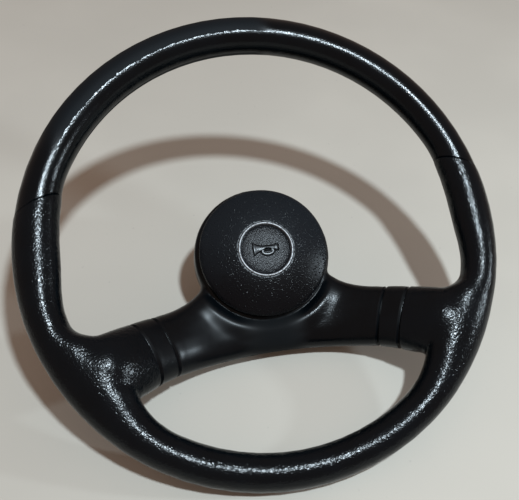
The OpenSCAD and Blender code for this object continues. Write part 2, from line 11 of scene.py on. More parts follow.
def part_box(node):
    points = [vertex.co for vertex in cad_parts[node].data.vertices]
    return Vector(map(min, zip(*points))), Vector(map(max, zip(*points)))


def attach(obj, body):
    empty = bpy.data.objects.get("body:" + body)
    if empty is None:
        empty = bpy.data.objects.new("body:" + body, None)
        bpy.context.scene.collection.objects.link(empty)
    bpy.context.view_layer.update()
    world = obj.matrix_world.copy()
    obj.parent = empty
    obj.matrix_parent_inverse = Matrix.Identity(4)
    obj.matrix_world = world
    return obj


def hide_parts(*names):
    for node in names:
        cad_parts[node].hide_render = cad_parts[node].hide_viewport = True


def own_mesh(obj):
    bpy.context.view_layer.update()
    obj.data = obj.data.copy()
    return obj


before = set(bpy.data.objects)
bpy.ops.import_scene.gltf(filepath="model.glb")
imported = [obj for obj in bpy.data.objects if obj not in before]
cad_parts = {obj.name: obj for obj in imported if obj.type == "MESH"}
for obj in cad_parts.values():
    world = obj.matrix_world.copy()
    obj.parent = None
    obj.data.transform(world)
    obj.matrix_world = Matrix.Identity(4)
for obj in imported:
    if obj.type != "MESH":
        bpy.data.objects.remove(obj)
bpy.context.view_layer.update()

bl_info = {
    "name": "Car Steering Wheel",
    "version": (1, 0, 0),
    "blender": (4, 5, 0),
    "location": "View3D > Sidebar > Wheel",
    "description": "Dresses the solids of a car steering wheel with its moulded skin, cap and finishes",
    "category": "Add Mesh",
}

MM = 0.001
FULL_TURN = 2 * math.pi

# Points that lie closer together than this are taken as one
MERGE = 1e-6

# Plan of the wheel in metres, as the solids have it
RIM_RADIUS = 0.1754
RIM_HALF = 0.0146
RIM_LIFT = 0.078
ARCH_RADIUS = 0.4035
ARCH_CENTRE = -0.46
DISH_HUB = 0.026
DISH = 0.052
DISH_START = 0.05
DISH_END = 0.165
DISH_LATE = 1.45
GROOVE_LEAN = math.radians(4.5)
SEAM_TURN = math.radians(16)
SEAM_LEAN = math.radians(3.8)

# Where the grooves cross each spoke, measured along its arch, and how far they and the seams reach
GROOVES = (0.0929, 0.1088)
GROOVE_REACH = 0.045
GROOVE_END = 0.150
SLOPE_STEP = 0.0014
SEAM_REACH = 0.030
SEAM_LEDGE = 0.00015

# Spots in plan, given for the right side, where the skin between spoke and rim fills up or swells
JOINTS = ((0.150, -0.058), (0.126, -0.101), (0.138, -0.082))
JOINT_REACH = 0.036
BAND_X = (0.082, 0.118)
BAND_Y = (-0.11, -0.03)
REST_SPOT = (0.1215, -0.0745)
REST_SPREAD = 0.0145
CORNER_SPOT = (0.1130, -0.0970)
CORNER_SPREAD = 0.013

# Bounds of the skin in front of the cap, and the distances from the axis at which its form changes
DECK_LOW = 0.022
DECK_SIDE = 0.040
DECK_FRONT = 0.005
COLLAR = 0.0535
FLANK = 0.0550
CREST = 0.0620

# Room between the cap's well and the ring, and between the ring and the disc
WELL_GAP = 0.0001

# Lamps and camera. The camera's offset is where the rim's middle lies, told in the camera's own frame
LAMP_COLOUR = (0.765, 0.905, 1.0)
LAMP_AIM = (0, 0, 0.05)
OVERHEAD_SPOT = (0.295, 0.309, 1.73)
OVERHEAD_SIZE = 0.12
RIGHT_SPOT = (1.3, -0.15, 0.75)
RIGHT_SIZE = 0.10
CAMERA_OFFSET = (-0.037646, 0.032138, -0.550319)
CAMERA_TILT = (-0.175, 0.197, 0.0)
CAMERA_ROLL = 0.148
CAMERA_SHIFT = (-0.1114, 0.0651)


class WheelGripSettings(bpy.types.PropertyGroup):
    """Sizes and colours of the moulded grip."""

    cell: FloatProperty(name="Skin cell", description="Length of the edges in the grip's skin",
                        default=0.00165, min=0.001, max=0.004, unit="LENGTH")
    rounds: IntProperty(name="Blending rounds", description="How often the whole skin is smoothed",
                        default=12, min=0, max=40)
    joint_rounds: IntProperty(name="Joint rounds", description="How often the joints are smoothed full",
                              default=120, min=0, max=240)
    joint_gain: FloatProperty(name="Joint gain", description="How much fuller than smooth the joints become",
                              default=1.4, min=1.0, max=3.0)
    rest_rise: FloatProperty(name="Rest rise", description="How far the spokes' ends swell up",
                             default=0.0041, min=0.0, max=0.005, unit="LENGTH")
    corner_fill: FloatProperty(name="Corner fill", description="How far the lower opening's corners fill up",
                               default=0.0045, min=0.0, max=0.006, unit="LENGTH")
    lip_drop: FloatProperty(name="Lip drop", description="How far the skin falls towards the cap's collar",
                            default=0.0032, min=0.0, max=0.004, unit="LENGTH")
    deck_fall: FloatProperty(name="Deck fall", description="How far the skin falls towards its lower edge",
                             default=0.0020, min=0.0, max=0.004, unit="LENGTH")
    fullness: FloatProperty(name="Fullness", description="How far the smoothed skin is let out again",
                            default=0.00025, min=0.0, max=0.001, unit="LENGTH")
    groove_width: FloatProperty(name="Groove width", description="Width of the grooves across each spoke",
                                default=0.0034, min=0.001, max=0.005, unit="LENGTH")
    groove_depth: FloatProperty(name="Groove depth", description="Depth of the grooves across each spoke",
                                default=0.0019, min=0.0, max=0.003, unit="LENGTH")
    seam_width: FloatProperty(name="Seam width", description="Width of the seam above each thumb rest",
                              default=0.0018, min=0.001, max=0.004, unit="LENGTH")
    seam_depth: FloatProperty(name="Seam depth", description="Depth of the seam above each thumb rest",
                              default=0.0010, min=0.0, max=0.002, unit="LENGTH")
    # The skin's colour is partly painted reflection: its blue cast stands in for a bluish reflection of the
    # room on the black
    colour: FloatVectorProperty(name="Grip colour", description="Colour of the moulded skin",
                                default=(0.0008, 0.0019, 0.0030), size=3, subtype="COLOR", min=0.0, max=1.0)
    grain: FloatProperty(name="Leather cell", description="Size of the cells in the leather grain",
                         default=0.0020, min=0.0005, max=0.004, unit="LENGTH")


class WheelCapSettings(bpy.types.PropertyGroup):
    """Sizes and colours of the horn cap, its bright ring and its disc."""

    radius: FloatProperty(name="Cap radius", description="Radius of the cap at its widest",
                          default=0.0535, min=0.05, max=0.055, unit="LENGTH")
    foot: FloatProperty(name="Cap foot", description="Height of the cap's lower edge",
                        default=0.0395, min=0.03, max=0.05, unit="LENGTH")
    side: FloatProperty(name="Cap side", description="Height of the cap's upright side",
                        default=0.0067, min=0.004, max=0.01, unit="LENGTH")
    rise: FloatProperty(name="Dome rise", description="Rise of the dome from its edge to the bright ring",
                        default=0.011, min=0.005, max=0.015, unit="LENGTH")
    wall: FloatProperty(name="Cap wall", description="Thickness of the cap's wall",
                        default=0.0025, min=0.001, max=0.004, unit="LENGTH")
    edge: FloatProperty(name="Cap edge", description="Radius of the round edge between side and dome",
                        default=0.0013, min=0.0005, max=0.003, unit="LENGTH")
    ring_radius: FloatProperty(name="Ring radius", description="Outside radius of the bright ring",
                               default=0.0226, min=0.015, max=0.03, unit="LENGTH")
    ring_width: FloatProperty(name="Ring width", description="Width of the bright ring",
                              default=0.0016, min=0.001, max=0.003, unit="LENGTH")
    ring_proud: FloatProperty(name="Ring height", description="Height of the bright ring above the dome",
                              default=0.0007, min=0.0, max=0.002, unit="LENGTH")
    well: FloatProperty(name="Well depth", description="Depth of the well that holds ring and disc",
                        default=0.0022, min=0.001, max=0.004, unit="LENGTH")
    colour: FloatVectorProperty(name="Cap colour", description="Colour of the cap",
                                default=(0.0008, 0.0013, 0.0024), size=3, subtype="COLOR", min=0.0, max=1.0)
    # Paler, bluer colour that the cap takes over its upper half; the disc's grain also runs from dark up to
    # it
    paled: FloatVectorProperty(name="Paled colour", description="Colour of the cap where it is rubbed",
                                default=(0.0068, 0.0095, 0.0125), size=3, subtype="COLOR", min=0.0, max=1.0)
    ring_colour: FloatVectorProperty(name="Ring colour", description="Colour of the bright ring",
                                     default=(0.46, 0.48, 0.50), size=3, subtype="COLOR", min=0.0, max=1.0)


class WheelWorksSettings(bpy.types.PropertyGroup):
    """Sizes and colours of the pieces inside the hub."""

    wire: FloatProperty(name="Spring wire", description="Diameter of the spring wire",
                        default=0.001, min=0.0005, max=0.002, unit="LENGTH")
    coil: FloatProperty(name="Spring diameter", description="Outside diameter of a spring",
                        default=0.008, min=0.005, max=0.01, unit="LENGTH")
    turns: FloatProperty(name="Spring turns", description="Number of turns of a spring",
                         default=5.5, min=3.0, max=9.0)
    steel: FloatVectorProperty(name="Steel colour", description="Colour of the bare steel",
                               default=(0.40, 0.40, 0.41), size=3, subtype="COLOR", min=0.0, max=1.0)
    zinc: FloatVectorProperty(name="Zinc colour", description="Colour of the plated screws and springs",
                              default=(0.60, 0.59, 0.54), size=3, subtype="COLOR", min=0.0, max=1.0)
    brass: FloatVectorProperty(name="Brass colour", description="Colour of the contacts",
                               default=(0.68, 0.47, 0.18), size=3, subtype="COLOR", min=0.0, max=1.0)
    nylon: FloatVectorProperty(name="Nylon colour", description="Colour of the plain nylon",
                               default=(0.72, 0.69, 0.58), size=3, subtype="COLOR", min=0.0, max=1.0)
    black_nylon: FloatVectorProperty(name="Black nylon colour", description="Colour of the black nylon",
                                     default=(0.018, 0.018, 0.019), size=3, subtype="COLOR",
                                     min=0.0, max=1.0)


class WheelStageSettings(bpy.types.PropertyGroup):
    """Colours and levels of the floor and the light."""

    floor: FloatVectorProperty(name="Floor colour", description="Colour of the pale floor",
                               default=(0.585, 0.548, 0.482), size=3, subtype="COLOR", min=0.0, max=1.0)
    room: FloatVectorProperty(name="Room colour", description="Colour of the light from all around",
                              default=(0.300, 0.228, 0.194), size=3, subtype="COLOR", min=0.0, max=1.0)
    lamp: FloatProperty(name="Lamp power", description="Power of the lamp overhead",
                        default=26.8, min=0.0, max=200.0, unit="POWER")
    side_lamp: FloatProperty(name="Side lamp power", description="Power of the lamp low on the right",
                             default=5.4, min=0.0, max=200.0, unit="POWER")
    focal: FloatProperty(name="Focal length", description="Focal length of the camera, in millimetres",
                         default=48.555, min=20.0, max=200.0)


class Reading:
    """A shader value that adds its own Math nodes when it is used in a plain expression."""

    def __init__(self, finish, socket):
        self.finish = finish
        self.socket = socket

    def maths(self, operation, first, second=0.0):
        """The outcome of a Math node."""
        return self.finish.node("ShaderNodeMath", {"operation": operation}, {0: first, 1: second})

    def __add__(self, other):
        return self.maths("ADD", self, other)

    def __sub__(self, other):
        return self.maths("SUBTRACT", self, other)

    def __rsub__(self, other):
        return self.maths("SUBTRACT", other, self)

    def __mul__(self, other):
        return self.maths("MULTIPLY", self, other)

    def __abs__(self):
        return self.maths("ABSOLUTE", self)

    __radd__ = __add__
    __rmul__ = __mul__

    def most(self, other):
        """The larger of the two."""
        return self.maths("MAXIMUM", self, other)


class Finish:
    """A material made of nodes, with a Principled shader that its constants are set on."""

    def __init__(self, name, **constants):
        self.material = bpy.data.materials.new(name)
        self.material.use_nodes = True
        self.tree = self.material.node_tree
        self.tree.nodes.clear()
        self.shader = self.tree.nodes.new("ShaderNodeBsdfPrincipled")
        self.output = self.tree.nodes.new("ShaderNodeOutputMaterial")
        self.tree.links.new(self.shader.outputs[0], self.output.inputs["Surface"])
        for socket, value in constants.items():
            self.set(socket.replace("_", " ").title().replace("Ior", "IOR"), value)

    def set(self, socket, value):
        """Sets or links a socket of the shader, told by its name."""
        self.feed(self.shader.inputs[socket], value)

    def feed(self, socket, value):
        """Links a reading to a socket, or sets the socket to a plain value."""
        if isinstance(value, Reading):
            self.tree.links.new(value.socket, socket)
        else:
            socket.default_value = value

    def node(self, kind, settings=None, inputs=None, out=0):
        """Adds one node. Its settings go in first, then the values or links of its sockets."""
        made = self.tree.nodes.new(kind)
        for name, value in (settings or {}).items():
            setattr(made, name, value)
        for name, value in (inputs or {}).items():
            self.feed(made.inputs[name], value)
        return Reading(self, made.outputs[out])

    def place(self):
        """The point that is shaded, in the wheel's own frame."""
        return self.node("ShaderNodeTexCoord", out="Object")

    def split(self, vector):
        """The x, y and z of a vector."""
        made = self.node("ShaderNodeSeparateXYZ", inputs={0: vector})
        return [Reading(self, output) for output in made.socket.node.outputs]

    def reach(self, x, y):
        """Distance from the axis."""
        flat = self.node("ShaderNodeCombineXYZ", None, {0: x, 1: y, 2: 0.0})
        return self.node("ShaderNodeVectorMath", {"operation": "LENGTH"}, {0: flat}, out="Value")

    def scaled(self, vector, factor):
        """A vector or a colour times a factor."""
        return self.node("ShaderNodeVectorMath", {"operation": "SCALE"}, {0: vector, "Scale": factor})

    def step(self, value, low, high):
        """0 below low and 1 above high, with a soft change between them."""
        return self.node("ShaderNodeMapRange", {"interpolation_type": "SMOOTHSTEP"},
                         {"Value": value, "From Min": low, "From Max": high})

    def band(self, value, rise, fall):
        """1 between a soft rise and a soft fall, each told by where it starts and ends, and 0 outside."""
        return self.step(value, *rise) * (1 - self.step(value, *fall))

    def ramp(self, value, low, high, start, end):
        """Runs evenly from start to end as value goes from low to high."""
        bounds = {"From Min": low, "From Max": high, "To Min": start, "To Max": end}
        return self.node("ShaderNodeMapRange", None, {"Value": value, **bounds})

    def noise(self, place, size, detail=2.0, rough=0.5, twist=0.0):
        """Even noise from 0 to 1 with blots about size metres across, bent by twist."""
        shape = {"Scale": 1 / size, "Detail": detail, "Roughness": rough, "Distortion": twist}
        return self.node("ShaderNodeTexNoise", None, {"Vector": place, **shape})

    def blend(self, factor, first, second):
        """Mixes two colours, of which the first may be a reading."""
        first = first if isinstance(first, Reading) else (*first, 1.0)
        sockets = {0: factor, 6: first, 7: (*second, 1.0)}
        return self.node("ShaderNodeMix", {"data_type": "RGBA"}, sockets, out=2)

    def bump(self, height, depth):
        """Bent normals for a height that is multiplied by a depth in metres."""
        return self.node("ShaderNodeBump", None, {"Height": height, "Distance": depth, "Strength": 1.0})


def toned(colour, factor):
    """A colour made lighter or darker."""
    return tuple(factor * part for part in colour)


def show(name, mesh):
    """Puts a finished mesh into the scene as a piece of that name."""
    data = bpy.data.meshes.new(name)
    mesh.to_mesh(data)
    mesh.free()
    piece = bpy.data.objects.new(name, data)
    bpy.context.scene.collection.objects.link(piece)
    return piece


def settle(piece):
    """Applies the modifiers of a piece to its mesh."""
    depsgraph = bpy.context.evaluated_depsgraph_get()
    data = bpy.data.meshes.new_from_object(piece.evaluated_get(depsgraph))
    old = piece.data
    piece.modifiers.clear()
    piece.data = data
    bpy.data.meshes.remove(old)


def shade(mesh, sharp):
    """Smooth faces, with the edges that turn by more than the sharp angle kept crisp."""
    for face in mesh.faces:
        face.smooth = True
    for edge in mesh.edges:
        edge.smooth = len(edge.link_faces) == 2 and edge.calc_face_angle(0.0) < sharp


def dress(piece, body, slot, finish, *nodes):
    """Gives a piece its body, its finish as its one material, and the solids that it stands for. The slot
    argument is not used.
    """
    piece.data.materials.clear()
    piece.data.materials.append(finish.material)
    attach(piece, body)
    if nodes:
        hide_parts(*nodes)


def ease(share):
    """Runs softly from 0 to 1 as its share does, and stays there outside."""
    share = min(1.0, max(0.0, share))
    return share * share * (3 - 2 * share)


def rise(value, start, run):
    """Runs softly from 0 at the start to 1 a run later."""
    return ease((value - start) / run)


def dish_height(distance):
    """Height of the middle of the spokes at a distance from the axis."""
    run = max(0.0, (distance - DISH_START) / (DISH_END - DISH_START)) ** DISH_LATE
    return DISH_HUB + DISH * ease(run)


def groove_plane(along):
    """Middle and direction of a groove, for the spoke on the right, at a distance along the arch."""
    turn = along / ARCH_RADIUS
    radial = Vector((math.sin(turn), math.cos(turn), 0))
    run = Vector((math.cos(turn), -math.sin(turn), 0))
    middle = Vector((0, ARCH_CENTRE, 0)) + ARCH_RADIUS * radial
    ahead = dish_height((middle + SLOPE_STEP * run).length)
    behind = dish_height((middle - SLOPE_STEP * run).length)
    slope = math.atan((ahead - behind) / (2 * SLOPE_STEP))
    middle.z = dish_height(middle.length)
    lean = radial * math.tan(GROOVE_LEAN) / math.cos(slope)
    across = run * math.cos(slope) + Vector((0, 0, math.sin(slope))) - lean
    return middle, across.normalized()


def mirrored(vector, side):
    """A vector told for the right, on the side that is 1 for the right and -1 for the left."""
    return Vector((side * vector.x, vector.y, vector.z))


def lean_all(mesh, turn):
    """Turns each point about the axis, by more the farther it is from the rim's middle."""
    for vert in mesh.verts:
        share = (vert.co.xy.length - RIM_RADIUS) / RIM_HALF
        vert.co = Matrix.Rotation(turn * share, 3, "Z") @ vert.co


def cut_channel(mesh, middle, across, near, width, depth, drop=0.0, turn=0.0):
    """Presses a V into the skin along a plane, or across the rim with a lean that turn gives.

    near says which points may move. drop is the depth of a ledge on one side of the V, which runs out
    to nothing. The skin is split along the V first, so that it comes out straight.
    """
    half = width / 2
    split_reach = 2.5 * width
    ledge_reach = 4 * width
    if turn:
        lean_all(mesh, turn)
    for shift in (-1.0, -0.5, 0.0, 0.5, 1.0):
        faces = [f for f in mesh.faces if near(f.calc_center_median())
                 and abs((f.calc_center_median() - middle).dot(across)) < split_reach]
        edges = {e for f in faces for e in f.edges}
        verts = {v for f in faces for v in f.verts}
        bmesh.ops.bisect_plane(mesh, geom=[*verts, *edges, *faces], dist=MERGE,
                               plane_co=middle + across * shift * half, plane_no=across)
    presses = []
    for vert in mesh.verts:
        away = (vert.co - middle).dot(across)
        if abs(away) < ledge_reach and near(vert.co):
            ledge = drop * (1 - min(1.0, away / ledge_reach)) if away > 0 else 0.0
            presses.append((vert, depth * max(0.0, 1 - abs(away) / half) + ledge))
    if turn:
        lean_all(mesh, -turn)
    mesh.normal_update()
    moves = [(vert, vert.normal * press) for vert, press in presses]
    for vert, move in moves:
        vert.co -= move


class WHEEL_OT_grip(bpy.types.Operator):
    """Makes the moulded grip: rim, spokes and hub in one blended skin, with its grooves and seams"""

    bl_idname = "wheel.grip"
    bl_label = "Moulded Grip"

    def execute(self, context):
        grip = context.scene.wheel_grip
        mesh = bmesh.new()
        for node in ("grip_moulding", "rim_core", "spoke_bar_left", "spoke_bar_right"):
            mesh.from_mesh(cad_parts[node].data)
        bmesh.ops.remove_doubles(mesh, verts=mesh.verts, dist=MERGE)
        piece = show("grip_skin", mesh)
        remesh = piece.modifiers.new("skin", "REMESH")
        remesh.mode = "VOXEL"
        remesh.voxel_size = grip.cell
        smooth = piece.modifiers.new("blend", "SMOOTH")
        smooth.factor = 0.5
        smooth.iterations = grip.rounds
        settle(piece)
        mesh = bmesh.new()
        mesh.from_mesh(piece.data)
        rounds = grip.joint_rounds
        corners = [Vector((side * x, y)) for side in (1, -1) for x, y in JOINTS]
        joints = [v for v in mesh.verts if any((v.co.xy - c).length < JOINT_REACH for c in corners)]
        self.fill(mesh, joints, rounds, grip.joint_gain)
        band = [v for v in mesh.verts
                if BAND_X[0] < abs(v.co.x) < BAND_X[1] and BAND_Y[0] < v.co.y < BAND_Y[1]]
        self.fill(mesh, band, rounds // 3, gain=1.0)
        for side in (1, -1):
            self.swell(mesh, side, REST_SPOT, REST_SPREAD, Vector((0, 0, grip.rest_rise)))
            self.swell(mesh, side, CORNER_SPOT, CORNER_SPREAD, Vector((0, -grip.corner_fill, 0)))
        self.shape_deck(mesh, grip.lip_drop, grip.deck_fall)
        for vert in mesh.verts:
            vert.co += vert.normal * grip.fullness
        for side in (1, -1):
            for along in GROOVES:
                middle, across = groove_plane(along)
                middle = mirrored(middle, side)
                cut_channel(mesh, middle, mirrored(across, side),
                            lambda p, m=middle: (p - m).length < GROOVE_REACH and p.xy.length < GROOVE_END,
                            grip.groove_width, grip.groove_depth)
            out = Vector((side * math.cos(SEAM_TURN), math.sin(SEAM_TURN), 0))
            middle = RIM_RADIUS * out + Vector((0, 0, RIM_LIFT))
            cut_channel(mesh, middle, Vector((-side * math.sin(SEAM_TURN), math.cos(SEAM_TURN), 0)),
                        lambda p, m=middle: (p - m).length < SEAM_REACH,
                        grip.seam_width, grip.seam_depth, SEAM_LEDGE, side * SEAM_LEAN)
        bmesh.ops.triangulate(mesh, faces=[f for f in mesh.faces if len(f.verts) > 4])
        shade(mesh, math.radians(38))
        mesh.to_mesh(piece.data)
        mesh.free()
        dress(piece, "wheel", "moulding", self.finish(grip), "grip_moulding")
        return {"FINISHED"}

    def swell(self, mesh, side, spot, spread, push):
        """Pushes out the skin that faces the push, most at a spot in plan and ever less around it."""
        centre = Vector((side * spot[0], spot[1]))
        way = push.normalized()
        least_share = 0.005
        for vert in mesh.verts:
            share = math.exp(-(vert.co.xy - centre).length_squared / (2 * spread ** 2))
            if share > least_share:
                vert.co += push * share * rise(vert.normal.dot(way), -0.2, 0.7)
        mesh.normal_update()

    def shape_deck(self, mesh, drop, fall):
        """Gives the skin in front of the cap a crest, with a flank to the collar and a fall to the edge."""
        for vert in mesh.verts:
            x, y, z = vert.co
            if z > DECK_LOW and vert.normal.z > 0 and y < -DECK_FRONT:
                reach = math.hypot(x, y)
                flank = rise(reach, COLLAR, 0.003) * (1 - rise(reach, FLANK, 0.010))
                middle = 1 - rise(abs(x), DECK_SIDE, 0.050)
                share = middle * rise(-y, DECK_FRONT, 0.025) * rise(vert.normal.z, 0.0, 0.3)
                vert.co.z -= share * (drop * flank + fall * rise(reach, CREST, 0.014))
        mesh.normal_update()

    def fill(self, mesh, verts, rounds, gain):
        """Smooths the hollows among the points outwards, leaves what is full, and evens all of it out."""
        before = [(v, v.co.copy(), v.normal.copy()) for v in verts]
        last_rounds = rounds // 12
        self.smooth(mesh, verts, rounds)
        for vert, spot, normal in before:
            vert.co = spot + normal * gain * max(0.0, (vert.co - spot).dot(normal))
        self.smooth(mesh, verts, last_rounds)
        mesh.normal_update()

    def smooth(self, mesh, verts, rounds):
        """Draws each point halfway to the middle of its neighbours, so many times."""
        for _ in range(rounds):
            bmesh.ops.smooth_vert(mesh, verts=verts, factor=0.5,
                                  use_axis_x=True, use_axis_y=True, use_axis_z=True)

    def finish(self, grip):
        """Leather grain below the seams and beyond the grooves, satin elsewhere, worn at the upper left."""
        skin = Finish("moulded_skin", specular_ior_level=0.22)
        place = skin.place()
        x, y, z = skin.split(place)
        side = abs(x)
        reach = skin.reach(x, y)
        lean = (reach - RIM_RADIUS) * (SEAM_LEAN / RIM_HALF)
        seam = (y.maths("ARCTAN2", y, side) + lean - SEAM_TURN) * RIM_RADIUS
        middle, across = groove_plane(GROOVES[1])
        outboard = (side - middle.x) * across.x + (y - middle.y) * across.y + (z - middle.z) * across.z
        border = 0.0002
        on_rim = skin.step(reach, 0.139, 0.143)
        off_rim = 1 - on_rim
        below = 1 - skin.step(seam, -border, border)
        leather = below * on_rim.most(skin.step(outboard, -border, border))
        upper = (1 - leather) * on_rim
        scuffed = skin.band(x, (0.020, 0.034), (0.054, 0.070)) * (1 - skin.step(y, -0.046, -0.036)) * off_rim

        sway = skin.node("ShaderNodeTexNoise", None, {"Vector": place, "Scale": 300.0, "Detail": 1.0},
                         out="Color")
        swayed = skin.node("ShaderNodeVectorMath", {"operation": "ADD"},
                           {0: place, 1: skin.scaled(sway, 0.0011)})
        cells = skin.node("ShaderNodeTexVoronoi", {"feature": "DISTANCE_TO_EDGE"},
                          {"Vector": swayed, "Scale": 1 / grip.grain})
        hide = skin.step(cells, 0.0, 0.5)
        waves = skin.noise(swayed, 1.25 * grip.grain, detail=1.0, twist=0.8)
        tight = skin.noise(place, 0.0012, detail=1.0)
        hide_depth = 0.00006
        wave_depth = 0.00025
        upper_depth = 0.00012
        scuff_depth = 0.00016
        relief = ((hide * hide_depth + waves * wave_depth) * leather
                  + tight * (upper * upper_depth + scuffed * scuff_depth))
        skin.set("Normal", skin.bump(relief, 1.0))

        # The strip along the upper left rim where the skin is worn, made rougher and paler than the rest
        tube = z.maths("ARCTAN2", z - RIM_LIFT, reach - RIM_RADIUS)
        ragged = skin.noise(place, 0.0045, detail=3.0, rough=0.6)
        outer = 1 - skin.step(tube + (ragged - 0.5) * 0.24, 1.775, 1.795)
        turn = y.maths("ARCTAN2", y, x)
        paled = outer * upper * skin.band(turn, (1.40, 1.50), (2.50, 2.68))

        blots = skin.noise(place, 0.03, detail=3.0)
        shine = skin.ramp(blots, 0.3, 0.7, 0.17, 0.21) + leather * 0.02
        hub_front = 1 - skin.step(side, 0.006, 0.034)
        satin = off_rim * (1 - leather) * (skin.ramp(blots, 0.35, 0.65, 0.08, 0.14) + hub_front * 0.46)
        skin.set("Roughness", shine + satin + paled * 0.5 - scuffed * 0.08)
        dusk = skin.ramp(blots, 0.35, 0.65, 0.85, 1.2) + paled * 1.2
        colour = skin.blend(leather, toned(grip.colour, 0.9), toned(grip.colour, 1.15))
        skin.set("Base Color", skin.scaled(colour, dusk))
        return skin


def spun(mesh, profile, steps, closed=True):
    """Turns a profile of radius and height points round the axis."""
    verts = [mesh.verts.new((r, 0, z)) for r, z in profile]
    pairs = list(zip(verts, verts[1:]))
    if closed:
        pairs.append((verts[-1], verts[0]))
    edges = [mesh.edges.new(pair) for pair in pairs]
    bmesh.ops.spin(mesh, geom=[*verts, *edges], cent=(0, 0, 0), axis=(0, 0, 1), dvec=(0, 0, 0),
                   angle=FULL_TURN, steps=steps, use_merge=True, use_duplicate=False)
    bmesh.ops.remove_doubles(mesh, verts=mesh.verts, dist=MERGE)


def arc(r, z, radius, start, end, steps):
    """Points of an arc in the plane of radius and height, with angles in degrees."""
    turns = [math.radians(start + (end - start) * i / steps) for i in range(steps + 1)]
    return [(r + radius * math.cos(a), z + radius * math.sin(a)) for a in turns]


def dome(cap):
    """Height of the dome's centre and its radius, from the cap's width and the well's."""
    well = cap.ring_radius + WELL_GAP
    drop = (well ** 2 + cap.rise ** 2 - cap.radius ** 2) / (2 * cap.rise)
    return cap.foot + cap.side + drop, math.hypot(cap.radius, drop)


def well_floor(cap):
    """Height of the floor of the well that holds ring and disc."""
    return cap.foot + cap.side + cap.rise - cap.well


def pegs(mesh, radius, low, high, distance, angles):
    """Round pegs that stand around the axis, at angles in degrees."""
    for angle in angles:
        middle = Matrix.Translation((distance, 0, (low + high) / 2))
        spot = Matrix.Rotation(math.radians(angle), 4, "Z") @ middle
        bmesh.ops.create_cone(mesh, cap_ends=True, segments=24, radius1=radius, radius2=radius,
                              depth=high - low, matrix=spot)


class WHEEL_OT_cap(bpy.types.Operator):
    """Makes the domed horn cap, with its round edge, its well, its rib and its stakes"""

    bl_idname = "wheel.cap"
    bl_label = "Horn Cap"

    def execute(self, context):
        cap = context.scene.wheel_cap
        centre, radius = dome(cap)
        edge_height = cap.foot + cap.side
        well = cap.ring_radius + WELL_GAP
        floor = well_floor(cap)
        side = cap.radius - cap.edge
        lean = math.degrees(math.atan2(edge_height - centre, side))
        start = math.degrees(math.atan2(edge_height + cap.rise - centre, well))
        inner = radius - cap.wall
        foot_inner = cap.radius - cap.wall
        low = math.degrees(math.atan2(math.sqrt(inner ** 2 - foot_inner ** 2), foot_inner))
        high = math.degrees(math.atan2(math.sqrt(inner ** 2 - (well + cap.wall) ** 2), well + cap.wall))
        profile = [(0, floor), (well, floor), (well, edge_height + cap.rise - 0.0003)]
        profile += arc(0, centre, radius, start - 0.3, lean + 0.4, steps=28)
        profile += arc(side, edge_height - cap.edge, cap.edge, lean, 0, steps=6)
        profile += [(cap.radius, cap.foot + 0.0008), (cap.radius - 0.0002, cap.foot + 0.0002),
                    (cap.radius - 0.0007, cap.foot), (foot_inner, cap.foot)]
        profile += arc(0, centre, inner, low, high, steps=12)
        profile += [(well + cap.wall, floor - cap.wall), (0, floor - cap.wall)]
        mesh = bmesh.new()
        spun(mesh, profile, steps=128, closed=False)
        rib = [(0.046, 0.0415), (0.048, 0.0415), (0.048, 0.0475), (0.046, 0.0480)]
        spun(mesh, rib, steps=96)
        stakes = (45, 135, 225, 315)
        pegs(mesh, radius=0.0020, low=0.0385, high=0.0500, distance=0.041, angles=stakes)
        pegs(mesh, radius=0.0028, low=0.0378, high=0.0390, distance=0.041, angles=stakes)
        bmesh.ops.recalc_face_normals(mesh, faces=mesh.faces)
        shade(mesh, math.radians(32))
        piece = show("cap_shell", mesh)
        dress(piece, "horn_pad", "cap", self.finish(cap), "horn_cap")
        return {"FINISHED"}

    def finish(self, cap):
        """Finely grained black with some glinting grit, and paler and bluer over its upper side."""
        skin = Finish("cap_skin", specular_ior_level=0.21)
        place = skin.place()
        grain = skin.noise(place, 0.0010)
        grit = skin.step(skin.noise(place, 0.0014, detail=1.0), 0.50, 0.80)
        grain_depth = 0.00005
        grit_depth = 0.00016
        skin.set("Normal", skin.bump(grain * grain_depth + grit * grit_depth, 1.0))
        # The cap turns paler and bluer over its upper half, going by height alone
        rub = skin.noise(place, 0.022, detail=4.0, rough=0.6)
        y = skin.split(place)[1]
        paled = skin.step(y + (rub - 0.5) * 0.05, -0.035, 0.025)
        skin.set("Roughness", skin.ramp(rub, 0.3, 0.7, 0.34, 0.28) - grit * 0.24)
        skin.set("Base Color", skin.blend(paled, tuple(cap.colour), tuple(cap.paled)))
        return skin


class WHEEL_OT_ring(bpy.types.Operator):
    """Makes the thin bright ring that stands in the cap's well"""

    bl_idname = "wheel.ring"
    bl_label = "Bright Ring"

    def execute(self, context):
        cap = context.scene.wheel_cap
        floor = well_floor(cap)
        half = cap.ring_width / 2
        top = floor + cap.well + cap.ring_proud
        profile = [(cap.ring_radius - cap.ring_width, floor), (cap.ring_radius, floor)]
        profile += arc(cap.ring_radius - half, top - half, half, 0, 180, steps=10)
        mesh = bmesh.new()
        spun(mesh, profile, steps=144)
        bmesh.ops.recalc_face_normals(mesh, faces=mesh.faces)
        shade(mesh, math.radians(40))
        piece = show("bright_ring", mesh)
        dress(piece, "horn_pad", "trim", self.finish(cap), "trim_ring")
        return {"FINISHED"}

    def finish(self, cap):
        """Thin plating, dulled and chipped here and there."""
        plate = Finish("ring_plating")
        place = plate.place()
        worn = plate.step(plate.noise(place, 0.0016, detail=4.0, rough=0.7), 0.50, 0.62)
        plate.set("Base Color", plate.blend(worn, tuple(cap.ring_colour), (0.16, 0.17, 0.18)))
        plate.set("Metallic", 1 - worn * 0.5)
        plate.set("Roughness", plate.ramp(worn, 0.0, 1.0, 0.52, 0.66))
        plate.set("Normal", plate.bump(plate.noise(place, 0.0009), 0.0002))
        return plate


